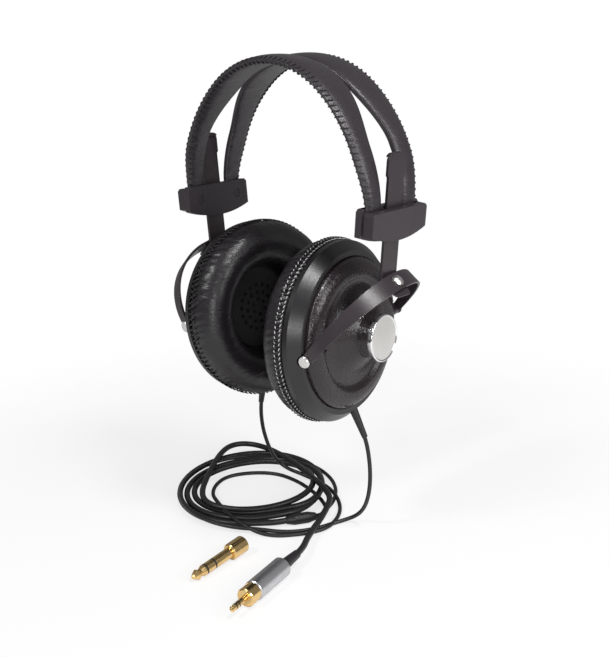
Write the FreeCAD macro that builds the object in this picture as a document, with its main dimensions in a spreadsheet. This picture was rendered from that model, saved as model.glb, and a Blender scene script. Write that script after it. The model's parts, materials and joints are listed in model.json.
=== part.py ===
import FreeCAD, Part
import math
import os
import Sketcher

# Wired stereo headphones, modelled as worn: the wearer faces -Y, +X is the wearer's left, +Z is up.
# The origin is the middle of the underside of the headband's crown, where the head carries them.
# Driving dimensions are millimetres and degrees, kept in the sheet "Sizes".

os.makedirs("parts", exist_ok=True)
doc = FreeCAD.newDocument("headphones")
V = FreeCAD.Vector
UP = V(0, 0, 1)
ACROSS = V(0, 1, 0)
OUTWARD = V(1, 0, 0)

SIZES = {
    # headband: three tangent arcs down each flank, seen from the front
    "crown_radius": 60.0, "crown_sweep": 40.0, "flank_radius": 84.0, "flank_sweep": 43.0,
    "heel_radius": 45.0, "heel_sweep": 12.0, "strap_thick": 6.0, "strap_edge": 24.8,
    "strap_edge_low": 21.2, "slit_half": 9.0, "slit_crown": 0.4, "slit_start": 10.5, "slit_full": 40.0,
    "taper_start": 66.0,
    "spring_wide": 8.5, "spring_thick": 1.0, "spring_offset": 15.1, "spring_tail": 8.0,
    "spring_gap": 0.15,
    # end blocks
    "strap_seat": 4.95, "strap_inset": 1.4, "lean": 5.0, "block_depth": 11.0, "inner_cover": 4.0,
    "block_long": 49.0, "outer_inset": 1.2, "block_top": 8.0, "block_side": 7.0, "block_low": 11.5,
    "block_wall": 1.6, "block_chamfer": 1.5, "cover_gap": 0.05, "strap_gap": 0.3, "slot_gap": 0.35,
    "screw_shank": 3.0, "screw_head": 5.6, "screw_head_thick": 1.4, "screw_fit": 0.1,
    "shoe_thick": 0.4, "shoe_wide": 10.0, "shoe_long": 8.0,
    # stems
    "stem_wide": 13.0, "stem_thick": 1.6, "tab_wide": 15.0, "tab_top": 35.6, "tab_low": 24.0,
    "tab_corner": 4.0, "lip_reach": 1.2, "lip_high": 2.0, "bend_drop": 31.5, "foot_run": 5.9,
    "foot_long": 14.4, "foot_corner": 3.0,
    # yokes
    "yoke_tilt": 41.2, "yoke_radius": 46.3, "yoke_thick": 1.5, "yoke_wide": 10.4, "arm_wide": 5.2,
    "washer_thick": 1.0, "washer_wide": 6.4, "washer_gap": 0.15, "rivet_shank": 3.2, "rivet_fit": 0.05, "rivet_head": 7.0,
    "rivet_dome": 2.0, "rivet_tail": 5.4, "rivet_tail_high": 1.0,
    "pivot_shank": 2.4, "pivot_fit": 0.05, "pivot_head": 6.8, "pivot_head_thick": 1.35,
    "pivot_side_gap": 0.3, "boss_wide": 6.0, "boss_long": 7.0,
    # cups: radii and depths measured outward from the seam plane of the ear cushion
    "pivot_depth": 10.85, "ring_radius": 52.4, "ring_rim": 3.0, "ring_step": 47.3, "ring_high": 9.0,
    "ring_wall": 1.6, "ring_lip": 2.0, "ring_bore": 44.3, "ring_floor": 6.2,
    "dome_seat": 7.6, "dome_edge": 44.0, "dome_rim": 43.4, "dome_rim_high": 10.4, "shoulder": 9.2,
    "crest_radius": 34.5, "crest_high": 14.3, "valley_radius": 29.3, "valley_high": 12.0,
    "slope_bend": 13.0, "slope_radius": 21.4, "slope_high": 14.7, "neck_base": 12.6,
    "neck_base_high": 21.5, "neck_top": 10.5, "neck_top_high": 29.0, "dome_wall": 1.6,
    "cap_radius": 13.6, "cap_high": 2.8, "cap_rim": 1.4, "cap_dish": 0.4, "spigot_long": 4.0,
    "baffle_thick": 2.0, "baffle_gap": 0.3, "driver_bore": 20.5, "driver_radius": 20.2,
    "driver_flange": 24.0, "flange_thick": 1.2, "basket_high": 6.5, "magnet_radius": 11.5,
    "magnet_high": 10.5, "cone_thick": 0.4, "cone_high": 1.6, "grille_radius": 24.5,
    "grille_thick": 0.8, "grille_hole": 2.4, "grille_pitch": 4.6,
    "felt_inner": 25.0, "felt_outer": 40.0, "felt_thick": 3.0,
    "cushion_bore": 27.0, "cushion_radius": 53.5, "cushion_back": 52.0, "cushion_deep": 20.0,
    "cushion_crest": 42.5, "cushion_seat": 0.3, "cushion_flank": 7.0, "cushion_face": 17.0,
    "relief_at": 48.4, "relief_depth": 6.6, "relief_lean": 22.0, "relief_base": 5.0, "relief_tip": 3.4,
    "relief_long": 18.0, "relief_root": 3.0, "relief_gap": 0.15, "part_gap": 0.1,
    # rest pose: how far each stem stands down, and how each cup is turned and tilted
    "left_stem": 0.0, "right_stem": -2.7, "left_swivel": 7.5, "right_swivel": -7.5,
    "left_tilt": 1.1, "right_tilt": -5.4,
    # leads, cable and plug
    "lead_wide": 2.5, "cable_wide": 3.8, "surface_drop": 275.5,
    "coil_outer_long": 70.5, "coil_outer_wide": 56.0, "coil_inner_long": 27.0, "coil_inner_wide": 25.5,
    "coil_high": 11.0, "coil_x": -45.3, "coil_y": 6.7, "coil_turn": 132.3,
    "splitter_long": 9.0, "splitter_wide": 7.0, "splitter_tail": 5.0,
    "barrel_wide": 11.7, "barrel_long": 29.4, "boot_long": 16.0, "boot_wide": 6.6, "boot_bore": 3.4,
    "collar_wide": 10.7, "collar_long": 8.0, "shank_wide": 3.5, "sleeve_long": 6.4, "ring_long": 1.6,
    "shank_ring_gap": 0.8, "tip_long": 3.6, "tip_neck": 2.3,
    "adapter_wide": 10.0, "adapter_head": 12.0, "adapter_shank": 6.35, "adapter_sleeve": 13.4,
    "adapter_ring": 5.6, "adapter_gap": 1.1, "adapter_tip": 9.2, "adapter_neck": 4.4,
    "adapter_bore": 3.6, "adapter_bore_deep": 15.0, "adapter_mouth": 6.4, "adapter_mouth_deep": 4.4,
}


class Size:
    """A length or angle together with the sheet formula that gives it."""

    def __init__(self, value, formula):
        self.value = value
        self.formula = formula

    def joined(self, other, sign, value):
        text = other.formula if isinstance(other, Size) else f"({other!r})"
        return Size(value, f"({self.formula} {sign} {text})")

    def __add__(self, other):
        return self.joined(other, "+", self.value + number(other))

    def __sub__(self, other):
        return self.joined(other, "-", self.value - number(other))

    def __mul__(self, other):
        return self.joined(other, "*", self.value * number(other))

    def __truediv__(self, other):
        return self.joined(other, "/", self.value / number(other))

    def __neg__(self):
        return Size(-self.value, f"(-1 * {self.formula})")


def number(size):
    return size.value if isinstance(size, Size) else float(size)


def filled_sheet():
    sheet = doc.addObject("Spreadsheet::Sheet", "Sizes")
    for row, (name, value) in enumerate(SIZES.items(), start=1):
        sheet.set(f"A{row}", name)
        sheet.set(f"B{row}", repr(value))
        sheet.setAlias(f"B{row}", name)
    doc.recompute()
    return sheet


SHEET = filled_sheet()


def mm(name):
    return Size(float(SHEET.get(name)), f"Sizes.{name}")


def bind(thing, prop, size):
    if isinstance(size, Size):
        thing.setExpression(prop, size.formula)
    else:
        setattr(thing, prop, size)


NODES = []


def node(thing, label, place=None):
    """Name a finished sub-part and put it where it belongs."""
    thing.Label = label
    if place is not None:
        thing.Placement = place
    NODES.append(thing)
    return thing


# ---- drawing helpers -------------------------------------------------------------------------------

def arc_between(start, end, radius, turn):
    """An arc edge from start to end; turn +1 bends left of the way, -1 right."""
    chord = end - start
    half = chord.Length / 2
    rise = math.sqrt(max(radius * radius - half * half, 0.0))
    left = V(-chord.y, chord.x, 0)
    left.normalize()
    centre = start + chord * 0.5 + left * (rise * turn)
    first, last = (start, end) if turn > 0 else (end, start)
    angles = [math.atan2(p.y - centre.y, p.x - centre.x) for p in (first, last)]
    if angles[1] < angles[0]:
        angles[1] += 2 * math.pi
    return Part.ArcOfCircle(Part.Circle(centre, V(0, 0, 1), radius), angles[0], angles[1])


def drawn(body, plane, outline, offset=None):
    """A closed sketch on an origin plane. A corner is (a, b), or (a, b, radius, turn) to end an arc."""
    sketch = body.newObject("Sketcher::SketchObject", body.Name + "Sketch")
    base = [f for f in body.Origin.OriginFeatures if f.Role == plane][0]
    sketch.AttachmentSupport = (base, [""])
    sketch.MapMode = "FlatFace"
    if offset is not None:
        sketch.setExpression("AttachmentOffset.Base.z", offset.formula)
    spots = [V(number(c[0]), number(c[1]), 0) for c in outline]
    count = len(outline)
    ends = []
    for i, corner in enumerate(outline):
        start, end = spots[i - 1], spots[i]
        if len(corner) == 4:
            sketch.addGeometry(arc_between(start, end, number(corner[2]), corner[3]), False)
            ends.append((1, 2) if corner[3] > 0 else (2, 1))
        else:
            sketch.addGeometry(Part.LineSegment(start, end), False)
            ends.append((1, 2))
    for i, corner in enumerate(outline):
        after = (i + 1) % count
        sketch.addConstraint(Sketcher.Constraint("Coincident", i, ends[i][1], after, ends[after][0]))
        for kind, size in (("DistanceX", corner[0]), ("DistanceY", corner[1])):
            spot = sketch.addConstraint(Sketcher.Constraint(kind, -1, 1, i, ends[i][1], number(size)))
            if isinstance(size, Size):
                sketch.setExpression(f"Constraints[{spot}]", size.formula)
        if len(corner) == 4:
            spot = sketch.addConstraint(Sketcher.Constraint("Radius", i, number(corner[2])))
            if isinstance(corner[2], Size):
                sketch.setExpression(f"Constraints[{spot}]", corner[2].formula)
    return sketch


def turned(name, outline):
    """A body turned about its own Z axis; the outline's corners are (radius, height)."""
    body = doc.addObject("PartDesign::Body", name)
    sketch = drawn(body, "XZ_Plane", outline)
    turn = body.newObject("PartDesign::Revolution", name + "Turn")
    turn.Profile = sketch
    turn.ReferenceAxis = (sketch, ["V_Axis"])
    turn.Angle = 360
    body.Tip = turn
    return body


def pressed(name, plane, outline, thick, offset=None):
    """A body padded both ways from an origin plane, or one way from an offset plane."""
    body = doc.addObject("PartDesign::Body", name)
    sketch = drawn(body, plane, outline, offset)
    pad = body.newObject("PartDesign::Pad", name + "Pad")
    pad.Profile = sketch
    bind(pad, "Length", thick)
    pad.Midplane = offset is None
    body.Tip = pad
    return body


def rod(name, radius, long, at=(0, 0, 0), along=UP):
    """A Part cylinder; its foot is at the given place and it runs along the given direction."""
    shape = doc.addObject("Part::Cylinder", name)
    bind(shape, "Radius", radius)
    bind(shape, "Height", long)
    shape.Placement = FreeCAD.Placement(V(*[number(a) for a in at]), FreeCAD.Rotation(UP, along))
    for letter, size in zip("xyz", at):
        if isinstance(size, Size):
            shape.setExpression("Placement.Base." + letter, size.formula)
    return shape


def brick(name, sides, at):
    shape = doc.addObject("Part::Box", name)
    for prop, size in zip(("Length", "Width", "Height"), sides):
        bind(shape, prop, size)
    shape.Placement.Base = V(*[number(a) for a in at])
    for letter, size in zip("xyz", at):
        if isinstance(size, Size):
            shape.setExpression("Placement.Base." + letter, size.formula)
    return shape


def cut(name, base, tools):
    for i, tool in enumerate(tools):
        result = doc.addObject("Part::Cut", f"{name}Cut{i}")
        result.Base = base
        result.Tool = tool
        base = result
    return base


def fused(name, shapes):
    result = doc.addObject("Part::MultiFuse", name)
    result.Shapes = shapes
    return result


def common(name, shapes):
    result = doc.addObject("Part::MultiCommon", name)
    result.Shapes = shapes
    return result


def feature(name, shape):
    result = doc.addObject("Part::Feature", name)
    result.Shape = shape
    return result


def group(name, shapes):
    result = doc.addObject("Part::Compound", name)
    result.Links = shapes
    return result


def turn_about(axis, degrees):
    return FreeCAD.Placement(V(0, 0, 0), FreeCAD.Rotation(axis, degrees))


def shift(x, y, z):
    return FreeCAD.Placement(V(x, y, z), FreeCAD.Rotation())


# ---- where the sides sit ----------------------------------------------------------------------------

SWEEPS = [number(mm(n)) for n in ("crown_sweep", "flank_sweep", "heel_sweep")]
RADII = [number(mm(n)) for n in ("crown_radius", "flank_radius", "heel_radius")]
THICK = number(mm("strap_thick"))


def toward(degrees):
    return V(math.sin(math.radians(degrees)), 0, math.cos(math.radians(degrees)))


def flank_arcs():
    """Centre, radius and end angles of the band's mid line, from the crown down to the block."""
    centre = V(0, 0, THICK / 2 - RADII[0])
    angle = 0.0
    arcs = []
    for i, (radius, sweep) in enumerate(zip(RADII, SWEEPS)):
        if i:
            centre = centre + toward(angle) * (RADII[i - 1] - radius)
        arcs.append((centre, radius, angle, angle + sweep))
        angle += sweep
    return arcs


ARCS = flank_arcs()
HEEL = ARCS[-1]
STRAP_END = HEEL[0] + toward(HEEL[3]) * HEEL[1]
BLOCK = STRAP_END + V(number(mm("strap_inset")), 0, -number(mm("strap_seat")))
LEAN = number(mm("lean"))
TILT = number(mm("yoke_tilt"))
STEM_WAY = toward(LEAN)
FOOT_WAY = toward(TILT + 90)
RIVET_WAY = toward(TILT)


def bend_spot():
    drop = number(mm("bend_drop"))
    return V(-drop * math.tan(math.radians(LEAN)), 0, -drop)


def rivet_spot():
    """Middle of the yoke band at the rivet, from the block's middle."""
    stack = number(mm("stem_thick") / 2 + mm("washer_thick") + mm("yoke_thick") / 2)
    return bend_spot() + FOOT_WAY * number(mm("foot_run")) + RIVET_WAY * stack


PIVOT = rivet_spot() - RIVET_WAY * number(mm("yoke_radius"))


def side_place(side):
    turn = 0 if side == "left" else 180
    x = BLOCK.x if side == "left" else -BLOCK.x
    return FreeCAD.Placement(V(x, 0, BLOCK.z), FreeCAD.Rotation(UP, turn))


def block_place(side):
    return side_place(side) * turn_about(ACROSS, LEAN)


def stem_place(side):
    reach = STEM_WAY * -number(mm(side + "_stem"))
    return side_place(side) * shift(reach.x, reach.y, reach.z)


def hoop_place(side):
    swivel = turn_about(UP, number(mm(side + "_swivel")))
    return stem_place(side) * shift(PIVOT.x, 0, PIVOT.z) * turn_about(ACROSS, TILT) * swivel


def cup_place(side):
    """Local Z is the cup's outward axis from the cushion seam, Y the pivot axis and X points down."""
    tilt = turn_about(ACROSS, 90 - TILT - number(mm(side + "_tilt")))
    return hoop_place(side) * tilt * shift(0, 0, -number(mm("pivot_depth")))


# ---- headband ---------------------------------------------------------------------------------------

def band_face(thick, tail):
    """The band's cross line thickened, seen from the front, with straight tails past the ends."""
    faces = []
    for centre, radius, first, last in ARCS:
        for sign in (1, -1):
            edges = []
            for r in (radius + thick / 2, radius - thick / 2):
                spots = [toward(a) * r for a in (first, (first + last) / 2, last)]
                spots = [V(sign * (centre.x + p.x), 0, centre.z + p.z) for p in spots]
                edges.append(Part.Arc(*spots).toShape())
            ends = [e.Vertexes for e in edges]
            sides = [Part.makeLine(ends[0][i].Point, ends[1][i].Point) for i in (0, 1)]
            faces.append(Part.Face(Part.Wire(Part.__sortEdges__(edges + sides))))
    if tail > 0:
        way = toward(HEEL[3] + 90)
        for sign in (1, -1):
            out = toward(HEEL[3]) * (thick / 2)
            spots = [STRAP_END + out, STRAP_END - out, STRAP_END - out + way * tail,
                     STRAP_END + out + way * tail]
            spots = [V(sign * p.x, 0, p.z) for p in spots]
            faces.append(Part.Face(Part.makePolygon(spots + spots[:1])))
    return faces


def band_solid(thick, tail, low, high):
    """The band between two distances along Y."""
    slabs = [f.extrude(V(0, high - low, 0)) for f in band_face(thick, tail)]
    slabs = [s.translated(V(0, low, 0)) for s in slabs]
    return slabs[0].fuse(slabs[1:]).removeSplitter()


def side_outline():
    """One strap seen from the side: the slit edge, then the outer edge, from the crown down."""
    low = STRAP_END.z - 10
    top = THICK + 10
    edge, edge_low = number(mm("strap_edge")), number(mm("strap_edge_low"))
    slit, slit_crown = number(mm("slit_half")), number(mm("slit_crown"))
    start, full = -number(mm("slit_start")), -number(mm("slit_full"))
    first = -number(mm("taper_start"))
    inner = Part.BSplineCurve()
    inner.interpolate([V(0, slit_crown, start), V(0, slit * 0.72, (start * 2 + full) / 3), V(0, slit, full)])
    outer = Part.BSplineCurve()
    outer.interpolate([V(0, edge, first * 0.6), V(0, edge - 0.6, first), V(0, edge_low, BLOCK.z + 8)])
    edges = [Part.makeLine(V(0, slit_crown, top), V(0, slit_crown, start)), inner.toShape(),
             Part.makeLine(V(0, slit, full), V(0, slit, low)),
             Part.makeLine(V(0, slit, low), V(0, edge_low, low)),
             Part.makeLine(V(0, edge_low, low), V(0, edge_low, BLOCK.z + 8)), outer.toShape(),
             Part.makeLine(V(0, edge, first * 0.6), V(0, edge, top)),
             Part.makeLine(V(0, edge, top), V(0, slit_crown, top))]
    return Part.Face(Part.Wire(Part.__sortEdges__(edges)))


def strap_shape(sign):
    reach = STRAP_END.x + THICK
    prism = side_outline().extrude(V(2 * reach, 0, 0)).translated(V(-reach, 0, 0))
    strap = band_solid(THICK, 0, 0, number(mm("strap_edge")) + 1).common(prism)
    gap = number(mm("spring_gap"))
    half = number(mm("spring_wide")) / 2 + gap
    middle = number(mm("spring_offset"))
    channel = band_solid(number(mm("spring_thick")) + 2 * gap, 1.0, middle - half, middle + half)
    strap = strap.cut(channel)
    return strap if sign > 0 else strap.mirror(V(0, 0, 0), ACROSS)


def spring_shape():
    half = number(mm("spring_wide")) / 2
    middle = number(mm("spring_offset"))
    strip = band_solid(number(mm("spring_thick")), number(mm("spring_tail")), middle - half, middle + half)
    hole = number(mm("screw_shank") / 2 + mm("screw_fit"))
    for side in ("left", "right"):
        place = block_place(side)
        drill = Part.makeCylinder(hole, 20, V(-10, 0, 0), OUTWARD)
        for y in (middle, -middle):
            tool = drill.translated(V(0, y, 0))
            tool.Placement = place * tool.Placement
            strip = strip.cut(tool)
    return strip


def headband():
    node(feature("StrapRear", strap_shape(1)), "strap_rear")
    node(feature("StrapFront", strap_shape(-1)), "strap_front")
    rear = spring_shape()
    node(feature("BandSprings", Part.makeCompound([rear, rear.mirror(V(0, 0, 0), ACROSS)])), "band_springs")


# ---- end blocks -------------------------------------------------------------------------------------

def block_outline(inset):
    """The block seen along X: flat top, chamfered ends, bowed underside."""
    end = mm("block_long") / 2 - inset
    bow = mm("block_low") - mm("block_side")
    bow_radius = (end * end + bow * bow) / (bow * 2)
    top = mm("block_top") - inset
    low = -mm("block_side") + inset
    chamfer = mm("block_chamfer")
    return [(end, low, bow_radius, 1), (end, top - chamfer), (end - chamfer, top), (chamfer - end, top),
            (-end, top - chamfer), (-end, low)]


def block_shell(name, inset, near, far, wall_in, wall_out):
    """A cover between two depths with a hollow on its parting side."""
    outer = pressed(name + "Outer", "YZ_Plane", block_outline(inset), far - near, near)
    hollow = block_outline(inset + mm("block_wall"))
    inner = pressed(name + "Hollow", "YZ_Plane", hollow, far - near - wall_in - wall_out, near + wall_in)
    return cut(name + "Shell", outer, [inner])


def block_parts(side):
    name = side.capitalize()
    place = block_place(side)
    none = mm("strap_seat") * 0
    inner_face = -mm("block_depth") / 2
    outer_face = mm("block_depth") / 2
    parting = inner_face + mm("inner_cover")
    wall = mm("block_wall")
    spring_mid = -mm("strap_inset") - mm("strap_seat") * math.tan(math.radians(HEEL[3] - 90))
    spring_half = mm("spring_thick") / 2 + mm("spring_gap")
    boss_radius = mm("screw_shank") / 2 + wall
    hole_radius = mm("screw_shank") / 2 + mm("screw_fit")
    head_radius = mm("screw_head") / 2 + mm("screw_fit")
    offset = mm("spring_offset")
    strap_slot = strap_slots(name)
    stem_slot = brick(name + "StemSlot", (mm("stem_thick") + mm("slot_gap") * 2,
                      mm("tab_wide") + mm("slot_gap") * 2, mm("block_low") * 4),
                      (-(mm("stem_thick") / 2) - mm("slot_gap"), -(mm("tab_wide") / 2) - mm("slot_gap"),
                       -(mm("block_low") * 2)))
    signs = (1, -1)
    inner = block_shell(name + "Inner", none, inner_face, parting - mm("cover_gap"), wall, none)
    posts = [rod(f"{name}InnerPost{s}", boss_radius, spring_mid - spring_half - inner_face - 0.2,
                 (inner_face + 0.2, offset * s, 0), OUTWARD) for s in signs]
    inner = fused(name + "InnerSolid", [inner] + posts)
    holes = [rod(f"{name}InnerHole{s}", hole_radius, mm("block_depth"),
                 (inner_face - 1, offset * s, 0), OUTWARD) for s in signs]
    sinks = [rod(f"{name}InnerSink{s}", head_radius, mm("screw_head_thick") + 1,
                 (inner_face - 1, offset * s, 0), OUTWARD) for s in signs]
    node(cut(name + "InnerBlock", inner, holes + sinks + [strap_slot, stem_slot]),
         "block_inner_" + side, place)
    outer = block_shell(name + "Outer", mm("outer_inset"), parting, outer_face, none, wall)
    post_long = outer_face - wall * 0.5 - spring_mid - spring_half
    posts = [rod(f"{name}OuterPost{s}", boss_radius, post_long,
                 (spring_mid + spring_half, offset * s, 0), OUTWARD) for s in signs]
    outer = fused(name + "OuterSolid", [outer] + posts)
    holes = [rod(f"{name}OuterHole{s}", hole_radius, mm("block_depth") - mm("inner_cover"),
                 (-wall, offset * s, 0), OUTWARD) for s in signs]
    strap_cut = doc.addObject("Part::Feature", name + "StrapSlotCopy")
    strap_cut.Shape = strap_slot.Shape
    stem_cut = brick(name + "StemSlotOuter", (mm("stem_thick") + mm("slot_gap") * 2,
                     mm("tab_wide") + mm("slot_gap") * 2, mm("block_low") * 4),
                     (-(mm("stem_thick") / 2) - mm("slot_gap"), -(mm("tab_wide") / 2) - mm("slot_gap"),
                      -(mm("block_low") * 2)))
    node(cut(name + "OuterBlock", outer, holes + [strap_cut, stem_cut]), "block_outer_" + side, place)
    shank_long = outer_face - inner_face - mm("screw_head_thick") - wall * 2
    screws = []
    for s in signs:
        shank = rod(f"{name}Shank{s}", mm("screw_shank") / 2, shank_long,
                    (inner_face + mm("screw_head_thick"), offset * s, 0), OUTWARD)
        head = rod(f"{name}Head{s}", mm("screw_head") / 2, mm("screw_head_thick") - 0.3,
                   (inner_face + 0.3, offset * s, 0), OUTWARD)
        screws.append(fused(f"{name}Screw{s}", [shank, head]))
    node(group(name + "Screws", screws), "block_screws_" + side, place)
    shoe = brick(name + "Shoe", (mm("shoe_thick"), mm("shoe_wide"), mm("shoe_long")),
                 (mm("stem_thick") / 2 + 0.1, -(mm("shoe_wide") / 2), -(mm("shoe_long") / 2)))
    node(group(name + "ShoePlaced", [shoe]), "stem_shoe_" + side, place)


def strap_slots(name):
    """The space that the two strap ends take in the block's top, in the block's own frame."""
    gap = number(mm("strap_gap"))
    low, high = number(mm("slit_half")) - gap, number(mm("strap_edge_low")) + gap
    reach = number(mm("block_top")) + 4
    slabs = []
    back = block_place("left").inverse()
    for face in band_face(THICK + 2 * gap, gap)[4:6] + band_face(THICK + 2 * gap, gap)[6:]:
        for start in (low, -high):
            slab = face.extrude(V(0, high - low, 0)).translated(V(0, start, 0))
            slab.Placement = back * slab.Placement
            slabs.append(slab)
    keep = Part.makeBox(40, 80, reach + 4, V(-20, -40, -4))
    shape = slabs[0].fuse(slabs[1:]).common(keep)
    return feature(name + "StrapSlot", shape)


# ---- stems, yokes and rivets ------------------------------------------------------------------------

def stem(side):
    name = side.capitalize() + "Stem"
    thick = number(mm("stem_thick"))
    bend = bend_spot()
    tab_top = number(mm("tab_top"))
    across_stem = toward(LEAN + 90) * (thick / 2)
    across_foot = RIVET_WAY * (thick / 2)
    top = STEM_WAY * (tab_top / STEM_WAY.z)
    end = bend + FOOT_WAY * number(mm("foot_long"))
    inner_corner = corner(bend - across_stem, STEM_WAY, bend - across_foot, FOOT_WAY)
    outer_corner = corner(bend + across_stem, STEM_WAY, bend + across_foot, FOOT_WAY)
    lip = number(mm("lip_reach"))
    lip_high = number(mm("lip_high"))
    spots = [top + across_stem, outer_corner, end + across_foot, end - across_foot, inner_corner,
             top - across_stem - STEM_WAY * lip_high, top - across_stem * (1 + 2 * lip / thick) - STEM_WAY * lip_high,
             top - across_stem * (1 + 2 * lip / thick)]
    face = Part.Face(Part.makePolygon(spots + spots[:1]))
    half = number(mm("tab_wide")) / 2
    strip = face.extrude(V(0, 2 * half, 0)).translated(V(0, -half, 0))
    outline = pressed(name + "Blank", "YZ_Plane", stem_outline(), mm("tab_wide") * 4)
    bent = feature(name + "Bent", strip)
    hole = number(mm("rivet_shank") / 2 + mm("rivet_fit"))
    spot = bend + FOOT_WAY * number(mm("foot_run")) - RIVET_WAY * 5
    drill = rod(name + "Drill", hole, 10.0, (spot.x, 0, spot.z), RIVET_WAY)
    node(cut(name, common(name + "Sheet", [bent, outline]), [drill]), "stem_" + side, stem_place(side))


def corner(a, way_a, b, way_b):
    """Where the line through a along way_a meets the line through b along way_b, in XZ."""
    det = way_a.x * -way_b.z + way_b.x * way_a.z
    dx, dz = b.x - a.x, b.z - a.z
    t = (dx * -way_b.z + way_b.x * dz) / det
    return a + way_a * t


def stem_outline():
    """The stem seen along X: the wide tab with round corners, the strip, and the foot's end."""
    strip = mm("stem_wide") / 2
    tab = mm("tab_wide") / 2
    corner_round = mm("tab_corner")
    foot = mm("foot_corner")
    top = mm("tab_top")
    low = -(mm("bend_drop") + mm("foot_long") * math.sin(math.radians(TILT)))
    return [(strip, low + foot, foot, 1), (strip, mm("tab_low") - 1), (tab, mm("tab_low")), (tab, top - corner_round),
            (tab - corner_round, top, corner_round, 1), (corner_round - tab, top), (-tab, top - corner_round, corner_round, 1),
            (-tab, mm("tab_low")), (-strip, mm("tab_low") - 1), (-strip, low + foot),
            (foot - strip, low, foot, 1), (strip - foot, low)]


def yoke(side):
    name = side.capitalize() + "Yoke"
    radius, half = mm("yoke_radius"), mm("yoke_thick") / 2
    wide, arm = mm("yoke_wide") / 2, mm("arm_wide") / 2
    long = mm("yoke_wide") * 2
    outer = rod(name + "Out", radius + half, long, (-(mm("yoke_wide")), 0, 0), OUTWARD)
    inner = rod(name + "In", radius - half, long, (-(mm("yoke_wide")), 0, 0), OUTWARD)
    shoulder = radius * 0.7
    shape = [(arm, mm("arm_wide") * 0, arm * 1.0001, 1), (arm + (wide - arm) * 0.6, shoulder), (wide, radius + half + 1),
             (-wide, radius + half + 1), (-arm - (wide - arm) * 0.6, shoulder), (-arm, mm("arm_wide") * 0)]
    blank = pressed(name + "Blank", "XZ_Plane", shape, radius * 4)
    band = common(name + "Band", [cut(name + "Tube", outer, [inner]), blank])
    drill = rod(name + "Drill", mm("rivet_shank") / 2 + mm("rivet_fit"), radius, (0, 0, radius / 2), UP)
    pin = rod(name + "Pin", mm("pivot_shank") / 2 + mm("pivot_fit"), radius * 4,
              (0, -(radius * 2), 0), ACROSS)
    node(cut(name, band, [drill, pin]), "yoke_" + side, hoop_place(side))


def rivet(side):
    """Domed head outside the yoke, shank through yoke, washer and stem foot, and a flat tail."""
    name = side.capitalize() + "Rivet"
    radius = number(mm("yoke_radius"))
    shank = mm("rivet_shank") / 2
    head = mm("rivet_head") / 2
    gap = mm("part_gap")
    base = mm("yoke_thick") / 2 + gap
    dome = mm("rivet_dome")
    tail = -(mm("yoke_thick") / 2 + mm("washer_thick") + mm("stem_thick") + gap)
    rim = dome * 0.3
    cap_bend = (head * head + (dome - rim) * (dome - rim)) / ((dome - rim) * 2)
    flat = mm("rivet_tail") / 2
    outline = [(dome * 0, tail - mm("rivet_tail_high")), (flat, tail - mm("rivet_tail_high")), (flat, tail),
               (shank, tail), (shank, base), (head, base), (head, base + rim),
               (dome * 0, base + dome, cap_bend, 1)]
    place = hoop_place(side) * shift(0, 0, radius)
    node(turned(name, outline), "rivet_" + side, place)
    inside = shank + mm("rivet_fit")
    edge = mm("washer_wide") / 2
    top = -(mm("yoke_thick") / 2) - mm("washer_gap")
    low = top - mm("washer_thick") + mm("washer_gap") * 2
    washer = [(inside, low), (edge, low), (edge, top), (inside, top)]
    node(turned(side.capitalize() + "Washer", washer), "rivet_washer_" + side, place)


def pivot_screws(side):
    name = side.capitalize() + "Pivot"
    arm_out = mm("yoke_radius") + mm("yoke_thick") / 2
    seat = arm_out + mm("part_gap") * 2
    shank, head = mm("pivot_shank") / 2, mm("pivot_head") / 2
    tip = mm("yoke_radius") - mm("boss_long")
    face = seat + mm("pivot_head_thick")
    edge = mm("pivot_head_thick") * 0.35
    outline = [(shank * 0, tip), (shank, tip), (shank, seat), (head, seat), (head, face - edge),
               (head - edge, face), (shank * 0, face)]
    screws = []
    for sign in (1, -1):
        screw = turned(f"{name}{'Rear' if sign > 0 else 'Front'}", outline)
        screw.Placement = FreeCAD.Placement(V(0, 0, number(mm("pivot_depth"))),
                                            FreeCAD.Rotation(UP, V(0, sign, 0)))
        screws.append(screw)
    node(group(name + "Screws", screws), "pivot_screws_" + side, cup_place(side))


# ---- cups -------------------------------------------------------------------------------------------

def dome_outline():
    """Half section of the housing: shoulder, crest, valley, slope and flared neck, then the inside."""
    wall = mm("dome_wall")
    fall = mm("crest_high") - mm("valley_high")
    run = mm("crest_radius") - mm("valley_radius")
    curl = (run * run + fall * fall) / (fall * 4)
    mid_r = (mm("crest_radius") + mm("valley_radius")) / 2
    mid_z = (mm("crest_high") + mm("valley_high")) / 2
    seat = mm("dome_seat")
    bore = mm("neck_top") - wall
    return [(mm("dome_edge"), seat), (mm("dome_rim"), mm("dome_rim_high")),
            (mm("crest_radius"), mm("crest_high"), mm("shoulder"), 1),
            (mid_r, mid_z, curl, 1), (mm("valley_radius"), mm("valley_high"), curl, -1),
            (mm("slope_radius"), mm("slope_high"), mm("slope_bend"), -1),
            (mm("neck_base"), mm("neck_base_high")), (mm("neck_top"), mm("neck_top_high")),
            (bore, mm("neck_top_high")), (mm("neck_base") - wall, mm("neck_base_high") - wall * 0.4),
            (mm("slope_radius"), mm("slope_high") - wall * 1.3), (mm("valley_radius"), mm("valley_high") - wall),
            (mm("crest_radius"), mm("crest_high") - wall * 1.1), (mm("dome_rim") - wall * 1.3, mm("dome_rim_high")),
            (mm("dome_edge") - wall, seat)]


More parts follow.
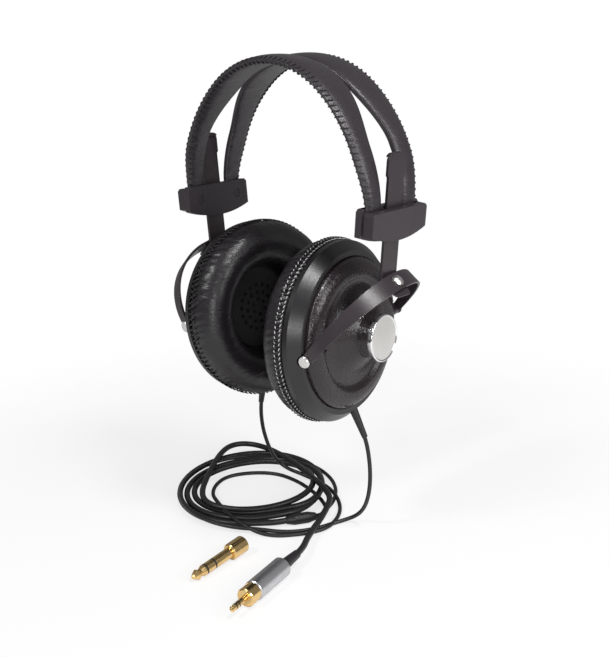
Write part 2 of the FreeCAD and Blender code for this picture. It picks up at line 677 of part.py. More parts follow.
def housing(side):
    name = side.capitalize() + "Housing"
    shell = turned(name + "Shell", dome_outline())
    face = mm("yoke_radius") - mm("yoke_thick") / 2 - mm("pivot_side_gap")
    start = face - mm("boss_long")
    depth = mm("pivot_depth")
    radius = mm("boss_wide") / 2
    bosses = [rod(name + "BossRear", radius, mm("boss_long"), (0, start, depth), ACROSS),
              rod(name + "BossFront", radius, mm("boss_long"), (0, -face, depth), ACROSS)]
    hole = mm("pivot_shank") / 2 + mm("pivot_fit")
    drill = rod(name + "Drill", hole, face * 4, (0, -(face * 2), depth), ACROSS)
    node(cut(name, fused(name + "Whole", [shell] + bosses), [drill]), "housing_" + side, cup_place(side))


def mounting_ring(side):
    name = side.capitalize() + "Ring"
    edge, wall, lip = mm("ring_radius"), mm("ring_wall"), mm("ring_lip")
    high, bore, floor = mm("ring_high"), mm("ring_bore"), mm("ring_floor")
    hollow = mm("ring_step") + 0.2
    outline = [(edge - wall, edge * 0), (edge, edge * 0), (edge, mm("ring_rim")), (mm("ring_step"), high),
               (bore, high), (bore, mm("dome_seat")), (bore - lip, mm("dome_seat")), (bore - lip, floor),
               (hollow, floor), (hollow, mm("baffle_thick") + mm("part_gap")),
               (edge - wall, mm("baffle_thick") + mm("part_gap"))]
    ring = turned(name + "Turned", outline)
    depth = mm("pivot_depth")
    scoop = mm("pivot_head") / 2 + mm("slot_gap") * 1.5
    start = mm("ring_bore") - mm("ring_lip") / 2
    notches = [rod(name + "NotchRear", scoop, edge, (0, start, depth), ACROSS),
               rod(name + "NotchFront", scoop, edge, (0, -(start + edge), depth), ACROSS)]
    lean = math.radians(number(mm("relief_lean")))
    way = V(math.cos(lean), 0, math.sin(lean))
    hole = mm("relief_base") / 2 + mm("relief_gap")
    at = V(number(mm("relief_at")), 0, number(mm("relief_depth"))) - way * 8
    port = rod(name + "Port", hole, 16.0, (at.x, 0, at.z), way)
    seat = rod(name + "DomeSeat", mm("dome_edge") + mm("part_gap"), high, (0, 0, mm("dome_seat")), UP)
    node(cut(name, ring, notches + [port, seat]), "mounting_ring_" + side, cup_place(side))


def strain_relief(side):
    name = side.capitalize() + "Relief"
    lean = math.radians(number(mm("relief_lean")))
    way = V(math.cos(lean), 0, math.sin(lean))
    root, long = mm("relief_root"), mm("relief_long")
    base, tip = mm("relief_base") / 2, mm("relief_tip") / 2
    outline = [(base * 0, -root), (base, -root), (base, base * 0), (tip, long), (base * 0, long)]
    place = cup_place(side) * shift(number(mm("relief_at")), 0, number(mm("relief_depth")))
    place = place * FreeCAD.Placement(V(0, 0, 0), FreeCAD.Rotation(UP, way))
    node(turned(name, outline), "strain_relief_" + side, place)
    return place.multVec(V(0, 0, number(long))), place.Rotation.multVec(UP)


def cap(side):
    high = mm("neck_top_high") + mm("part_gap")
    top = high + mm("cap_high")
    edge, rim = mm("cap_radius"), mm("cap_rim")
    spigot = mm("neck_top") - mm("dome_wall") - mm("part_gap")
    outline = [(edge * 0, high - mm("spigot_long")), (spigot, high - mm("spigot_long")), (spigot, high),
               (edge, high), (edge, top - rim / 2), (edge - rim / 2, top, rim / 2, 1),
               (edge - rim, top - mm("cap_dish")), (edge * 0, top - mm("cap_dish"))]
    node(turned(side.capitalize() + "Cap", outline), "cap_" + side, cup_place(side))


def baffle(side):
    edge = mm("ring_radius") - mm("ring_wall") - mm("baffle_gap")
    thick = mm("baffle_thick")
    outline = [(mm("driver_bore"), thick * 0), (edge, thick * 0), (edge, thick), (mm("driver_bore"), thick)]
    node(turned(side.capitalize() + "Baffle", outline), "baffle_" + side, cup_place(side))


def driver(side):
    """The driver's frame and magnet, its diaphragm, and the felt ring around it."""
    name = side.capitalize()
    place = cup_place(side)
    thick, gap = mm("baffle_thick"), mm("part_gap")
    none = thick * 0
    edge = mm("driver_radius")
    flange_top = thick + gap + mm("flange_thick")
    top = flange_top + mm("basket_high") + gap
    magnet_top = thick + mm("magnet_high")
    magnet = mm("magnet_radius")
    outline = [(edge - 1.5, gap * 2), (edge, gap * 2), (edge, thick + gap), (mm("driver_flange"), thick + gap),
               (mm("driver_flange"), flange_top), (edge, flange_top), (magnet + 3, top - 2), (magnet, top - 2),
               (magnet, magnet_top), (none, magnet_top), (none, thick + 1), (magnet - 1, thick + 1),
               (edge - 1.5, thick + 0.4)]
    node(turned(name + "Driver", outline), "driver_" + side, place)
    cone, rise = mm("cone_thick"), mm("cone_high")
    rim = edge - 1.5 - gap
    low = gap * 3
    outline = [(none, low + rise * 0.6), (rim / 2, low + rise * 0.75), (rim * 0.8, low), (rim, low),
               (rim, low + cone), (rim * 0.8, low + cone), (rim / 2, low + rise * 0.75 + cone),
               (none, low + rise * 0.6 + cone)]
    node(turned(name + "Diaphragm", outline), "diaphragm_" + side, place)
    felt = [(mm("felt_inner"), thick + gap), (mm("felt_outer"), thick + gap),
            (mm("felt_outer"), thick + gap + mm("felt_thick")), (mm("felt_inner"), thick + gap + mm("felt_thick"))]
    node(turned(name + "Felt", felt), "damping_felt_" + side, place)


def grille(side):
    name = side.capitalize() + "Grille"
    thick = mm("grille_thick")
    none = thick * 0
    body = turned(name, [(none, -thick), (mm("grille_radius"), -thick), (mm("grille_radius"), none), (none, none)])
    doc.recompute()
    for ring, count in ((1, 6), (2, 12), (3, 18)):
        sketch = body.newObject("Sketcher::SketchObject", f"{name}Hole{ring}")
        base = [f for f in body.Origin.OriginFeatures if f.Role == "XY_Plane"][0]
        sketch.AttachmentSupport = (base, [""])
        sketch.MapMode = "FlatFace"
        pitch = mm("grille_pitch") * ring
        sketch.addGeometry(Part.Circle(V(pitch.value, 0, 0), UP, number(mm("grille_hole")) / 2), False)
        sketch.addConstraint(Sketcher.Constraint("DistanceX", -1, 1, 0, 3, pitch.value))
        sketch.setExpression("Constraints[0]", pitch.formula)
        sketch.addConstraint(Sketcher.Constraint("PointOnObject", 0, 3, -1))
        sketch.addConstraint(Sketcher.Constraint("Radius", 0, number(mm("grille_hole")) / 2))
        sketch.setExpression("Constraints[2]", (mm("grille_hole") / 2).formula)
        pocket = body.newObject("PartDesign::Pocket", f"{name}Pocket{ring}")
        pocket.Profile = sketch
        pocket.Type = "ThroughAll"
        pocket.Midplane = True
        body.Tip = pocket
        doc.recompute()
        wheel = body.newObject("PartDesign::PolarPattern", f"{name}Wheel{ring}")
        wheel.Originals = [pocket]
        wheel.Axis = (sketch, ["N_Axis"])
        wheel.Angle = 360
        wheel.Occurrences = count
        body.Tip = wheel
        doc.recompute()
    node(body, "grille_" + side, cup_place(side))


def cushion(side):
    """Plain solid of the stuffed ring: flat back, bulged flank, round crest and sloping bore."""
    back, deep, seat = mm("cushion_back"), mm("cushion_deep"), mm("cushion_seat")
    edge, crest, bore = mm("cushion_radius"), mm("cushion_crest"), mm("cushion_bore")
    outline = [(bore + 1.5, -seat), (back, -seat), (edge, -(mm("cushion_flank")), 22.0, -1),
               (crest, -deep, mm("cushion_flank") * 2.0, -1), (bore + 4, -(mm("cushion_face")) + 3, 20.0, -1),
               (bore, -(mm("cushion_flank")))]
    node(turned(side.capitalize() + "Cushion", list(reversed_outline(outline))), "cushion_" + side,
         cup_place(side))


def reversed_outline(outline):
    """The same closed outline walked the other way, so that its arcs turn left."""
    count = len(outline)
    for i in range(count):
        corner_now = outline[-i % count]
        before = outline[(-i + 1) % count]
        if len(before) == 4:
            yield (corner_now[0], corner_now[1], before[2], -before[3])
        else:
            yield (corner_now[0], corner_now[1])


# ---- leads and cable --------------------------------------------------------------------------------

LEFT_ROUTE = [(45.9, 6.0, -213.1), (47.8, 6.5, -221.0), (49.1, 6.7, -232.0), (48.4, 7.5, -243.0),
              (45.4, 9.2, -253.5), (40.4, 11.6, -262.8), (34.2, 12.8, -269.8), (28.4, 10.2, -273.4),
              (24.4, 2.0, -274.2), (21.4, -8.6, -274.2), (15.4, -19.4, -274.2), (7.4, -27.6, -274.0)]
RIGHT_ROUTE = [(-38.8, 5.3, -210.4), (-40.8, 6.8, -219.0), (-42.8, 9.8, -229.5), (-44.0, 13.6, -239.5),
               (-45.4, 18.4, -249.0), (-47.0, 24.0, -257.5), (-46.6, 29.4, -264.0), (-41.4, 32.8, -268.2),
               (-33.0, 35.4, -269.8)]
TAIL_ROUTE = [(9.6, 16.4, -266.8), (16.0, 5.2, -267.6), (20.8, -6.8, -269.4), (24.4, -18.6, -271.0),
              (29.0, -28.6, -271.2), (34.4, -37.0, -270.2), (37.85, -46.55, -269.65)]
PLUG_FROM = V(37.9, -46.8, -269.65)
PLUG_TO = V(50.9, -112.0, -269.65)
ADAPTER_FROM = V(5.2, -57.8, -269.7)
ADAPTER_TO = V(7.8, -99.0, -272.2)


def cord_tube(label, route, wide):
    """A tube along straight runs joined by tangent arcs as large as the runs allow."""
    spots = [V(*p) for p in route]
    edges = []
    radii = []
    at = spots[0]
    for before, middle, after in zip(spots, spots[1:], spots[2:]):
        back, ahead = before - middle, after - middle
        run = min(back.Length, ahead.Length)
        half = (math.pi - back.getAngle(ahead)) / 2
        radius = 0.45 * run / math.tan(half)
        radii.append(radius)
        back.normalize()
        ahead.normalize()
        start, end = middle + back * (0.45 * run), middle + ahead * (0.45 * run)
        inward = back + ahead
        inward.normalize()
        top = middle + inward * (radius / math.cos(half) - radius)
        edges.append(Part.LineSegment(at, start).toShape())
        edges.append(Part.Arc(start, top, end).toShape())
        at = end
    edges.append(Part.LineSegment(at, spots[-1]).toShape())
    path = Part.Wire(edges)
    ring = Part.Wire([Part.makeCircle(wide / 2, spots[0], spots[1] - spots[0])])
    tube = path.makePipeShell([ring], True, True)
    expected = math.pi * wide * wide / 4 * path.Length
    print(label, "radii", [round(r, 1) for r in radii], "length", round(path.Length, 1),
          "volume ratio", round(tube.Volume / expected, 4))
    node(feature(label.title().replace("_", ""), tube), label)


def coil():
    """The outer shape of the loose oval coil that lies on the surface."""
    centre = V(number(mm("coil_x")), number(mm("coil_y")), -number(mm("surface_drop")))
    ovals = []
    for kind in ("outer", "inner"):
        long, wide = number(mm(f"coil_{kind}_long")), number(mm(f"coil_{kind}_wide"))
        oval = Part.Face(Part.Wire([Part.Ellipse(V(0, 0, 0), long, wide).toShape()]))
        ovals.append(oval.extrude(V(0, 0, number(mm("coil_high")))))
    result = feature("CableCoil", ovals[0].cut(ovals[1]))
    spin = FreeCAD.Rotation(UP, number(mm("coil_turn")))
    node(result, "cable_coil", FreeCAD.Placement(centre, spin))


def splitter():
    wide, long, tail = mm("splitter_wide") / 2, mm("splitter_long"), mm("splitter_tail")
    neck = mm("cable_wide") / 2 + 0.4
    none = wide * 0
    outline = [(none, none), (neck, none), (wide, tail), (wide, tail + long), (neck, tail * 2 + long),
               (none, tail * 2 + long)]
    place = FreeCAD.Placement(V(12.4, -1.4, -272.0), FreeCAD.Rotation(UP, V(-0.53, -0.848, 0)))
    node(turned("Splitter", outline), "y_splitter", place)


def plug():
    """Boot, barrel, collar and the three gold contacts with black insulators, on one axis."""
    place = FreeCAD.Placement(PLUG_FROM, FreeCAD.Rotation(UP, PLUG_TO - PLUG_FROM))
    none = mm("barrel_wide") * 0
    gap = mm("part_gap")
    boot_end = mm("boot_long")
    outline = [(none, none), (mm("boot_bore") / 2 + 0.8, none), (mm("boot_wide") / 2, boot_end - 2),
               (mm("boot_wide") / 2, boot_end - gap), (none, boot_end - gap)]
    node(turned("PlugBoot", outline), "plug_boot", place)
    barrel = mm("barrel_wide") / 2
    barrel_end = boot_end + mm("barrel_long")
    outline = [(none, boot_end), (barrel - 0.6, boot_end), (barrel, boot_end + 0.6), (barrel, barrel_end - 0.6 - gap),
               (barrel - 0.6, barrel_end - gap), (none, barrel_end - gap)]
    node(turned("PlugBarrel", outline), "plug_barrel", place)
    collar = mm("collar_wide") / 2
    collar_end = barrel_end + mm("collar_long")
    outline = [(none, barrel_end), (collar, barrel_end), (collar, collar_end - 0.8), (collar - 0.8, collar_end - gap),
               (none, collar_end - gap)]
    node(turned("PlugCollar", outline), "plug_collar", place)
    contacts("Plug", "plug", place, collar_end, mm("shank_wide") / 2, mm("sleeve_long"), mm("ring_long"),
             mm("shank_ring_gap"), mm("tip_long"), mm("tip_neck") / 2, None)


def contacts(name, label, place, start, radius, sleeve, ring, gap, tip, neck, bore):
    """Sleeve, ring and tip contacts, with an insulating washer before the ring and before the tip."""
    none = radius * 0
    seam = mm("part_gap") / 2
    pieces = []
    at = start
    if bore is None:
        node(turned(name + "Sleeve", [(none, at), (radius, at), (radius, at + sleeve - seam),
                                      (none, at + sleeve - seam)]), label + "_sleeve", place)
    at = at + sleeve
    washers = []
    for i in range(2):
        washers.append(turned(f"{name}Washer{i}", [(none, at), (radius, at), (radius, at + gap - seam),
                                                   (none, at + gap - seam)]))
        at = at + gap
        if i == 0:
            node(turned(name + "Ring", [(none, at), (radius, at), (radius, at + ring - seam),
                                        (none, at + ring - seam)]), label + "_ring", place)
            at = at + ring
    for washer in washers:
        washer.Placement = FreeCAD.Placement()
    node(group(name + "Washers", washers), label + "_insulators", place)
    end = at + tip
    outline = [(none, at), (radius, at), (radius, at + tip * 0.08), (neck, at + tip * 0.32),
               (neck, at + tip * 0.42), (radius * 0.97, at + tip * 0.62), (radius * 0.5, end - tip * 0.08),
               (radius * 0.3, end), (none, end)]
    node(turned(name + "Tip", outline), label + "_tip", place)


def adapter():
    """A large plug with a socket for the small one; the head and sleeve are one turned piece."""
    place = FreeCAD.Placement(ADAPTER_FROM, FreeCAD.Rotation(UP, ADAPTER_TO - ADAPTER_FROM))
    head, shank = mm("adapter_wide") / 2, mm("adapter_shank") / 2
    bore, mouth = mm("adapter_bore") / 2, mm("adapter_mouth") / 2
    none = head * 0
    deep = mm("adapter_bore_deep")
    neck = mm("adapter_head")
    end = neck + mm("adapter_sleeve")
    outline = [(mouth, none), (head - 0.6, none), (head, none + 0.6), (head, neck - 0.8), (head - 0.8, neck),
               (shank, neck), (shank, end - mm("part_gap") / 2), (none, end - mm("part_gap") / 2), (none, deep),
               (bore, deep), (bore, mm("adapter_mouth_deep")), (mouth, mm("adapter_mouth_deep") - 1)]
    node(turned("AdapterBody", outline), "adapter_body", place)
    contacts("Adapter", "adapter", place, neck, shank, mm("adapter_sleeve"), mm("adapter_ring"),
             mm("adapter_gap"), mm("adapter_tip"), mm("adapter_neck") / 2, bore)


def checked_and_written():
    doc.recompute()
    for thing in doc.Objects:
        if "Invalid" in thing.State or "Error" in thing.State:
            raise RuntimeError(f"{thing.Name} failed: {thing.State}")
    for thing in NODES:
        if thing.Shape.isNull() or not thing.Shape.isValid() or not thing.Shape.Solids:
            raise RuntimeError(f"{thing.Label} has no good shape")
    for thing in NODES:
        thing.Shape.exportStep(f"parts/{thing.Label}.step")
    print(len(NODES), "nodes written")


headband()
for SIDE in ("left", "right"):
    block_parts(SIDE)
    stem(SIDE)
    yoke(SIDE)
    rivet(SIDE)
    pivot_screws(SIDE)
    housing(SIDE)
    mounting_ring(SIDE)
    TIP, WAY = strain_relief(SIDE)
    print(SIDE, "lead leaves at", TIP, "along", WAY)
    cap(SIDE)
    baffle(SIDE)
    driver(SIDE)
    grille(SIDE)
    cushion(SIDE)
cord_tube("lead_left", LEFT_ROUTE, number(mm("lead_wide")))
cord_tube("lead_right", RIGHT_ROUTE, number(mm("lead_wide")))
cord_tube("cable_tail", TAIL_ROUTE, number(mm("cable_wide")))
coil()
splitter()
plug()
adapter()
checked_and_written()
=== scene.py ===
import json
import math

import bmesh
import bpy
from mathutils import Matrix, Vector, noise

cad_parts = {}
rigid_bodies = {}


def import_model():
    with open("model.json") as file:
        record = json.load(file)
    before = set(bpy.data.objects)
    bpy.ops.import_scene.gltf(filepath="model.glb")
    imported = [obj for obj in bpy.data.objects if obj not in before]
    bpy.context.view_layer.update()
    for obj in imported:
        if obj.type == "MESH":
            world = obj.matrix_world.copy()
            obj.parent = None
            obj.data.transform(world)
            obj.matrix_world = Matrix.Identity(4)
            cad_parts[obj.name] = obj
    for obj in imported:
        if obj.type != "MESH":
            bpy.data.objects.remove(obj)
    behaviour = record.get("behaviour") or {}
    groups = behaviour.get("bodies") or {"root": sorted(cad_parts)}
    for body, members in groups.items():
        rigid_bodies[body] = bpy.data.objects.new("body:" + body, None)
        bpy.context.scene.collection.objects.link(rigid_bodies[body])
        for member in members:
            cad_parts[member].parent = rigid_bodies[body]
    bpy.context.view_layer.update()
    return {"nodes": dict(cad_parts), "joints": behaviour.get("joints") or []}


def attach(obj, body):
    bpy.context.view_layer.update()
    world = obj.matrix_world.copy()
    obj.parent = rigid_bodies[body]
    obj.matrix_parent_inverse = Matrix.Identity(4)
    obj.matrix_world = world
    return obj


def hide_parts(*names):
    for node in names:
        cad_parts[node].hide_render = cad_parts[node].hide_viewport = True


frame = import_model()
view = bpy.context.scene.collection.objects


# The camera stands in front of the wearer's left side, a little higher than the cups,
# with a lens long enough to keep the near cup and the far cup almost the same size.
camera_spot = (0.3873, -0.4208, 0.0174)
looking = Vector((-0.6444, 0.7092, -0.2859))
roll = math.radians(-1.21)
level = looking.to_track_quat("-Z", "Y").to_matrix()
tipped = level @ Matrix.Rotation(roll, 3, "Z")
camera = bpy.data.objects.new("camera", bpy.data.cameras.new("camera"))
camera.data.lens = 54.66
camera.data.sensor_width = 36
camera.data.clip_start = 0.01
camera.matrix_world = Matrix.Translation(camera_spot) @ tipped.to_4x4()
view.link(camera)
bpy.context.scene.camera = camera


# The cable: a lead from each cup, joined by a moulded splitter into one thicker cable.
# Soft black vinyl over twisted strands. It lies on the table in loose turns that were never tied.
class Socket:
    """One output of a material's nodes, with the maths that the finishes use."""

    def __init__(self, tree, link):
        self.tree = tree
        self.link = link

    def node(self, kind, settings, sockets, output=0):
        """A new node with its settings made first, then its sockets set or linked."""
        made = self.tree.nodes.new("ShaderNode" + kind)
        for name, value in settings.items():
            setattr(made, name, value)
        for name, value in sockets.items():
            if isinstance(value, Socket):
                self.tree.links.new(value.link, made.inputs[name])
            else:
                made.inputs[name].default_value = value
        return Socket(self.tree, made.outputs[output])

    def maths(self, operation, first, second):
        return self.node("Math", {"operation": operation}, {0: first, 1: second})

    def __add__(self, other):
        return self.maths("ADD", self, other)

    def __mul__(self, other):
        return self.maths("MULTIPLY", self, other)

    def __sub__(self, other):
        return self.maths("SUBTRACT", self, other)

    def __rsub__(self, other):
        return self.maths("SUBTRACT", other, self)

    __radd__ = __add__
    __rmul__ = __mul__


def new_finish(name):
    """A bare material, and the place on the piece that its patterns are worked from."""
    finish = bpy.data.materials.new(name)
    finish.use_nodes = True
    start = Socket(finish.node_tree, None)
    return finish, start.node("TexCoord", {}, {}, "Object")


def cloudy(place, size, detail=2.0):
    """Soft blotches about as wide as size, in metres, from 0 to 1."""
    return place.node("TexNoise", {}, {"Vector": place, "Scale": 1 / size, "Detail": detail})


def ramp(value, low, high):
    """0 below low and 1 above high, smooth between."""
    sockets = {"Value": value, "From Min": low, "From Max": high}
    return value.node("MapRange", {"interpolation_type": "SMOOTHSTEP"}, sockets)


def blended(mask, one, other):
    """Colour one where the mask is 0 and the other where it is 1."""
    return mask.node("Mix", {"data_type": "RGBA"}, {0: mask, 6: one, 7: other}, 2)


def raised(height, deep, strength=1.0, under=None):
    """A surface that stands up by deep metres where the height is 1."""
    sockets = {"Height": height, "Distance": deep, "Strength": strength}
    if under:
        sockets["Normal"] = under
    return height.node("Bump", {}, sockets)


def finished(finish, **sockets):
    """Sets the surface's sockets to constants or links, with spaces written as underscores."""
    surface = finish.node_tree.nodes["Principled BSDF"]
    for name, value in sockets.items():
        socket = surface.inputs[name.replace("_", " ")]
        if isinstance(value, Socket):
            finish.node_tree.links.new(value.link, socket)
        else:
            socket.default_value = value
    return finish


def dress(finish, *nodes):
    """Gives CAD nodes that keep their shape this finish."""
    for name in nodes:
        for slot in frame["nodes"][name].material_slots:
            slot.material = finish


def vinyl_jacket():
    """Black vinyl, finely pitted and scuffed a little greyer in places."""
    finish, place = new_finish("vinyl_jacket")
    scuffs = cloudy(place, 0.006, 4.0)
    fine = cloudy(place, 0.0006, 2.0)
    shade = blended(scuffs, (0.006, 0.005, 0.006, 1), (0.014, 0.012, 0.014, 1))
    bump = raised(fine + scuffs * 0.5, 0.00012, 0.5)
    return finished(finish, Base_Color=shade, Roughness=0.34 + scuffs * 0.16, Normal=bump)


def cable(name, route, width, finish):
    """A round cable along one smooth line through its route."""
    curve = bpy.data.curves.new(name, "CURVE")
    curve.dimensions = "3D"
    curve.bevel_depth = width / 2
    curve.bevel_resolution = 5
    curve.resolution_u = 8
    curve.use_fill_caps = True
    line = curve.splines.new("NURBS")
    line.points.add(len(route) - 1)
    for point, spot in zip(line.points, route):
        point.co = (*spot, 1)
    line.order_u = 3
    line.use_endpoint_u = True
    curve.materials.append(finish)
    piece = bpy.data.objects.new(name, curve)
    view.link(piece)
    return piece


table_top = -0.2755
lead_width = 0.0025
cable_width = 0.0038


def laid(away, across, high):
    """A point over the table: away along the line of sight, across to its right, and up."""
    x = -0.644 * away + 0.740 * across
    y = 0.709 * away + 0.6726 * across
    return Vector((x, y, table_top + high))


def turn(middle, half, start, end, low, lift, climb=0.0):
    """Points of one loose turn, round from start to end in degrees, higher on its right side."""
    degrees_apart = 22
    count = round((end - start) / degrees_apart)
    spots = []
    for step in range(count + 1):
        angle = start + (end - start) * step / count
        around = math.radians(angle)
        away = middle[0] + half[0] * math.cos(around)
        across = middle[1] + half[1] * math.sin(around)
        high = low + lift * (0.5 + 0.5 * math.sin(around)) + climb * (angle - start) / 360
        spots.append(laid(away, across, high))
    return spots


jacket = vinyl_jacket()

left_route = [Vector(spot) for spot in (
    (0.0409, 0.0045, -0.2009), (0.0436, 0.0053, -0.2073), (0.0459, 0.0060, -0.2131),
    (0.0478, 0.0065, -0.2210), (0.0491, 0.0067, -0.2320), (0.0484, 0.0075, -0.2430),
    (0.0454, 0.0092, -0.2535), (0.0404, 0.0116, -0.2628), (0.0342, 0.0128, -0.2698),
    (0.0284, 0.0102, -0.2734), (0.0244, 0.0020, -0.2742), (0.0214, -0.0086, -0.2742),
    (0.0154, -0.0194, -0.2742), (0.0074, -0.0276, -0.2740),
)]
left_route += turn((0.032, -0.029), (0.058, 0.052), 176, 488, 0.0051, -0.0036)
left_route += [laid(-0.0084, 0.0105, 0.0030), Vector((0.0120, -0.0021, -0.2720))]
lead_left = cable("lead_left_cable", left_route, lead_width, jacket)

right_route = [Vector(spot) for spot in (
    (-0.0352, 0.0040, -0.1982), (-0.0372, 0.0047, -0.2050), (-0.0388, 0.0053, -0.2104),
    (-0.0408, 0.0068, -0.2190), (-0.0428, 0.0098, -0.2295), (-0.0440, 0.0136, -0.2395),
    (-0.0454, 0.0184, -0.2490), (-0.0470, 0.0240, -0.2575), (-0.0466, 0.0294, -0.2640),
    (-0.0414, 0.0328, -0.2682), (-0.0330, 0.0354, -0.2698),
)]
right_route += [laid(*spot) for spot in (
    (0.0380, 0.0152, 0.0030), (0.0230, 0.0223, 0.0020), (0.0054, 0.0245, 0.0013),
    (-0.0095, 0.0217, 0.0013), (-0.0224, 0.0157, 0.0018), (-0.0290, 0.0058, 0.0020),
    (-0.0305, -0.0060, 0.0014), (-0.0311, -0.0164, 0.0013), (-0.0287, -0.0262, 0.0020),
    (-0.0210, -0.0380, 0.0050), (-0.0080, -0.0475, 0.0066), (0.0070, -0.0538, 0.0062),
    (0.0260, -0.0592, 0.0030), (0.0448, -0.0585, 0.0014), (0.0586, -0.0517, 0.0013),
    (0.0641, -0.0361, 0.0013), (0.0620, -0.0180, 0.0014), (0.0490, -0.0040, 0.0014),
    (0.0330, 0.0060, 0.0014), (0.0180, 0.0125, 0.0014), (0.0040, 0.0155, 0.0016),
    (-0.0050, 0.0140, 0.0025),
)]
right_route += [Vector((0.0124, -0.0012, -0.2719))]
lead_right = cable("lead_right_cable", right_route, lead_width, jacket)

cable_route = [Vector((0.0026, -0.0171, -0.2720)), Vector((-0.0006, -0.0226, -0.2722))]
cable_route += turn((0.038, -0.034), (0.0565, 0.048), 172, 497, 0.0020, 0.0027)
cable_route += turn((0.034, -0.0315), (0.0475, 0.0455), 160, 492, 0.0024, 0.0037)
cable_route += turn((0.0335, -0.032), (0.0395, 0.040), 165, 560, 0.0026, 0.0040, 0.0022)
cable_route += [laid(*spot) for spot in (
    (0.0040, -0.0605, 0.0068), (0.0204, -0.0659, 0.0072), (0.0487, -0.0632, 0.0080),
    (0.0800, -0.0586, 0.0080), (0.0975, -0.0525, 0.0080), (0.1044, -0.0420, 0.0070),
    (0.0986, -0.0292, 0.0070), (0.0818, -0.0163, 0.0080), (0.0582, -0.0039, 0.0094),
    (0.0326, 0.0075, 0.0104), (0.0180, 0.0140, 0.0102),
)]
cable_route += [Vector(spot) for spot in (
    (0.0096, 0.0164, -0.2668), (0.0160, 0.0052, -0.2676), (0.0208, -0.0068, -0.2694),
    (0.0244, -0.0186, -0.2710), (0.0290, -0.0286, -0.2712), (0.0344, -0.0370, -0.2702),
    (0.0380, -0.0470, -0.2697), (0.0384, -0.0490, -0.2697),
)]
main_cable = cable("main_cable", cable_route, cable_width, jacket)

for piece, node in ((lead_left, "lead_left"), (lead_right, "lead_right"), (main_cable, "cable_coil")):
    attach(piece, "headband")
    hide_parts(node)
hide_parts("cable_tail")


# The splitter, the plug's boot and the short sleeve where each lead leaves its cup:
# soft black rubber moulded straight onto the cable, a little glossier than its jacket.
def moulded_rubber():
    """Black rubber with a fine skin, duller where dust has settled."""
    finish, place = new_finish("moulded_rubber")
    fine = cloudy(place, 0.0009, 3.0)
    dusty = cloudy(place, 0.008, 3.0)
    shade = blended(dusty, (0.006, 0.005, 0.006, 1), (0.015, 0.013, 0.015, 1))
    return finished(finish, Base_Color=shade, Roughness=0.36 + dusty * 0.14,
                    Normal=raised(fine, 0.0001, 0.6))


rubber = moulded_rubber()
dress(rubber, "y_splitter", "plug_boot", "strain_relief_left", "strain_relief_right")


# The small plug: a turned barrel with a satin plating, a gold collar with a bevel,
# and a gold sleeve, ring and tip parted by black rings.
def plated(name, colour, rough, wear):
    """Bright plating, clouded in patches to wear times its colour."""
    finish, place = new_finish(name)
    streaks = cloudy(place, 0.0006, 3.0)
    cloud = cloudy(place, 0.006, 2.0)
    worn = tuple(part * wear for part in colour) + (1,)
    shade = blended(cloud, colour + (1,), worn)
    return finished(finish, Base_Color=shade, Metallic=1.0, Roughness=rough + cloud * 0.10,
                    Normal=raised(streaks, 0.00003, 0.4))


gold = plated("gold_plate", (0.86, 0.60, 0.27), 0.16, 0.86)
satin_silver = plated("satin_silver", (0.62, 0.62, 0.64), 0.30, 0.88)
dress(satin_silver, "plug_barrel")
dress(gold, "plug_collar", "plug_sleeve", "plug_ring", "plug_tip")


# The adapter to the large jack, lying loose by the plug: one gold turning, bored at its head
# for the small plug, with a ring and a tip beyond black spacers.
dress(gold, "adapter_body", "adapter_ring", "adapter_tip")


def softened(place, radius):
    """Edges that look rounded to a radius."""
    return place.node("Bevel", {"samples": 4}, {"Radius": radius})


def moulded_black(name, colour, rough, grain, deep, edge=None):
    """A hard black moulding with a fine spark-eroded grain, and rounded edges if edge is given."""
    finish, place = new_finish(name)
    under = softened(place, edge) if edge else None
    fine = cloudy(place, grain, 2.0)
    broad = cloudy(place, 0.022, 3.0)
    lighter = tuple(part * 1.35 for part in colour) + (1,)
    shade = blended(broad, colour + (1,), lighter)
    return finished(finish, Base_Color=shade, Roughness=rough + fine * 0.16,
                    Normal=raised(fine, deep, 0.7, under))


insulator = moulded_black("insulator_rings", (0.012, 0.012, 0.012), 0.32, 0.0005, 0.00003)
dress(insulator, "plug_insulators", "adapter_insulators")


# The headband: two padded straps of black leatherette over foam, side by side at the crown and
# parted by a slit down each side. Their outer edges are closed with a coarse dark whipstitch.
def leatherette(name, dark, light, rough, grain, deep):
    """Coated cloth with an embossed grain of small cells, long soft creases and rubbed places."""
    finish, place = new_finish(name)
    cells = place.node("TexVoronoi", {"feature": "SMOOTH_F1"}, {"Vector": place, "Scale": 1 / grain})
    flattened = place.node("Mapping", {}, {"Vector": place, "Scale": (1.0, 1.0, 3.2)})
    creases = cloudy(flattened, 0.012, 3.0)
    rubbed = cloudy(place, 0.03, 3.0)
    shade = blended(rubbed * 0.6 + cells * 0.4, dark, light)
    lines = ramp(creases, 0.44, 0.60)
    bump = raised(cells, deep, 0.55, raised(lines, 0.00035, 0.35))
    return finished(finish, Base_Color=shade, Roughness=rough + cells * 0.12 - rubbed * 0.06,
                    Normal=bump)


strap_skin = leatherette("strap_leatherette", (0.015, 0.012, 0.015, 1), (0.034, 0.028, 0.033, 1),
                         0.36, 0.0009, 0.00016)

# The band's bends from the crown down: the radius of each, the angles that it runs between,
# in degrees from straight up, and its middle. Below the last one the band runs on straight.
band_bends = (
    (0.060, 0.0, 40.0, (0.0, -0.057)),
    (0.084, 40.0, 83.0, (-0.01543, -0.0754)),
    (0.045, 83.0, 95.0, (0.0233, -0.0706)),
)
band_tail = 0.006
band_half = sum(radius * math.radians(end - start) for radius, start, end, middle in band_bends) + band_tail


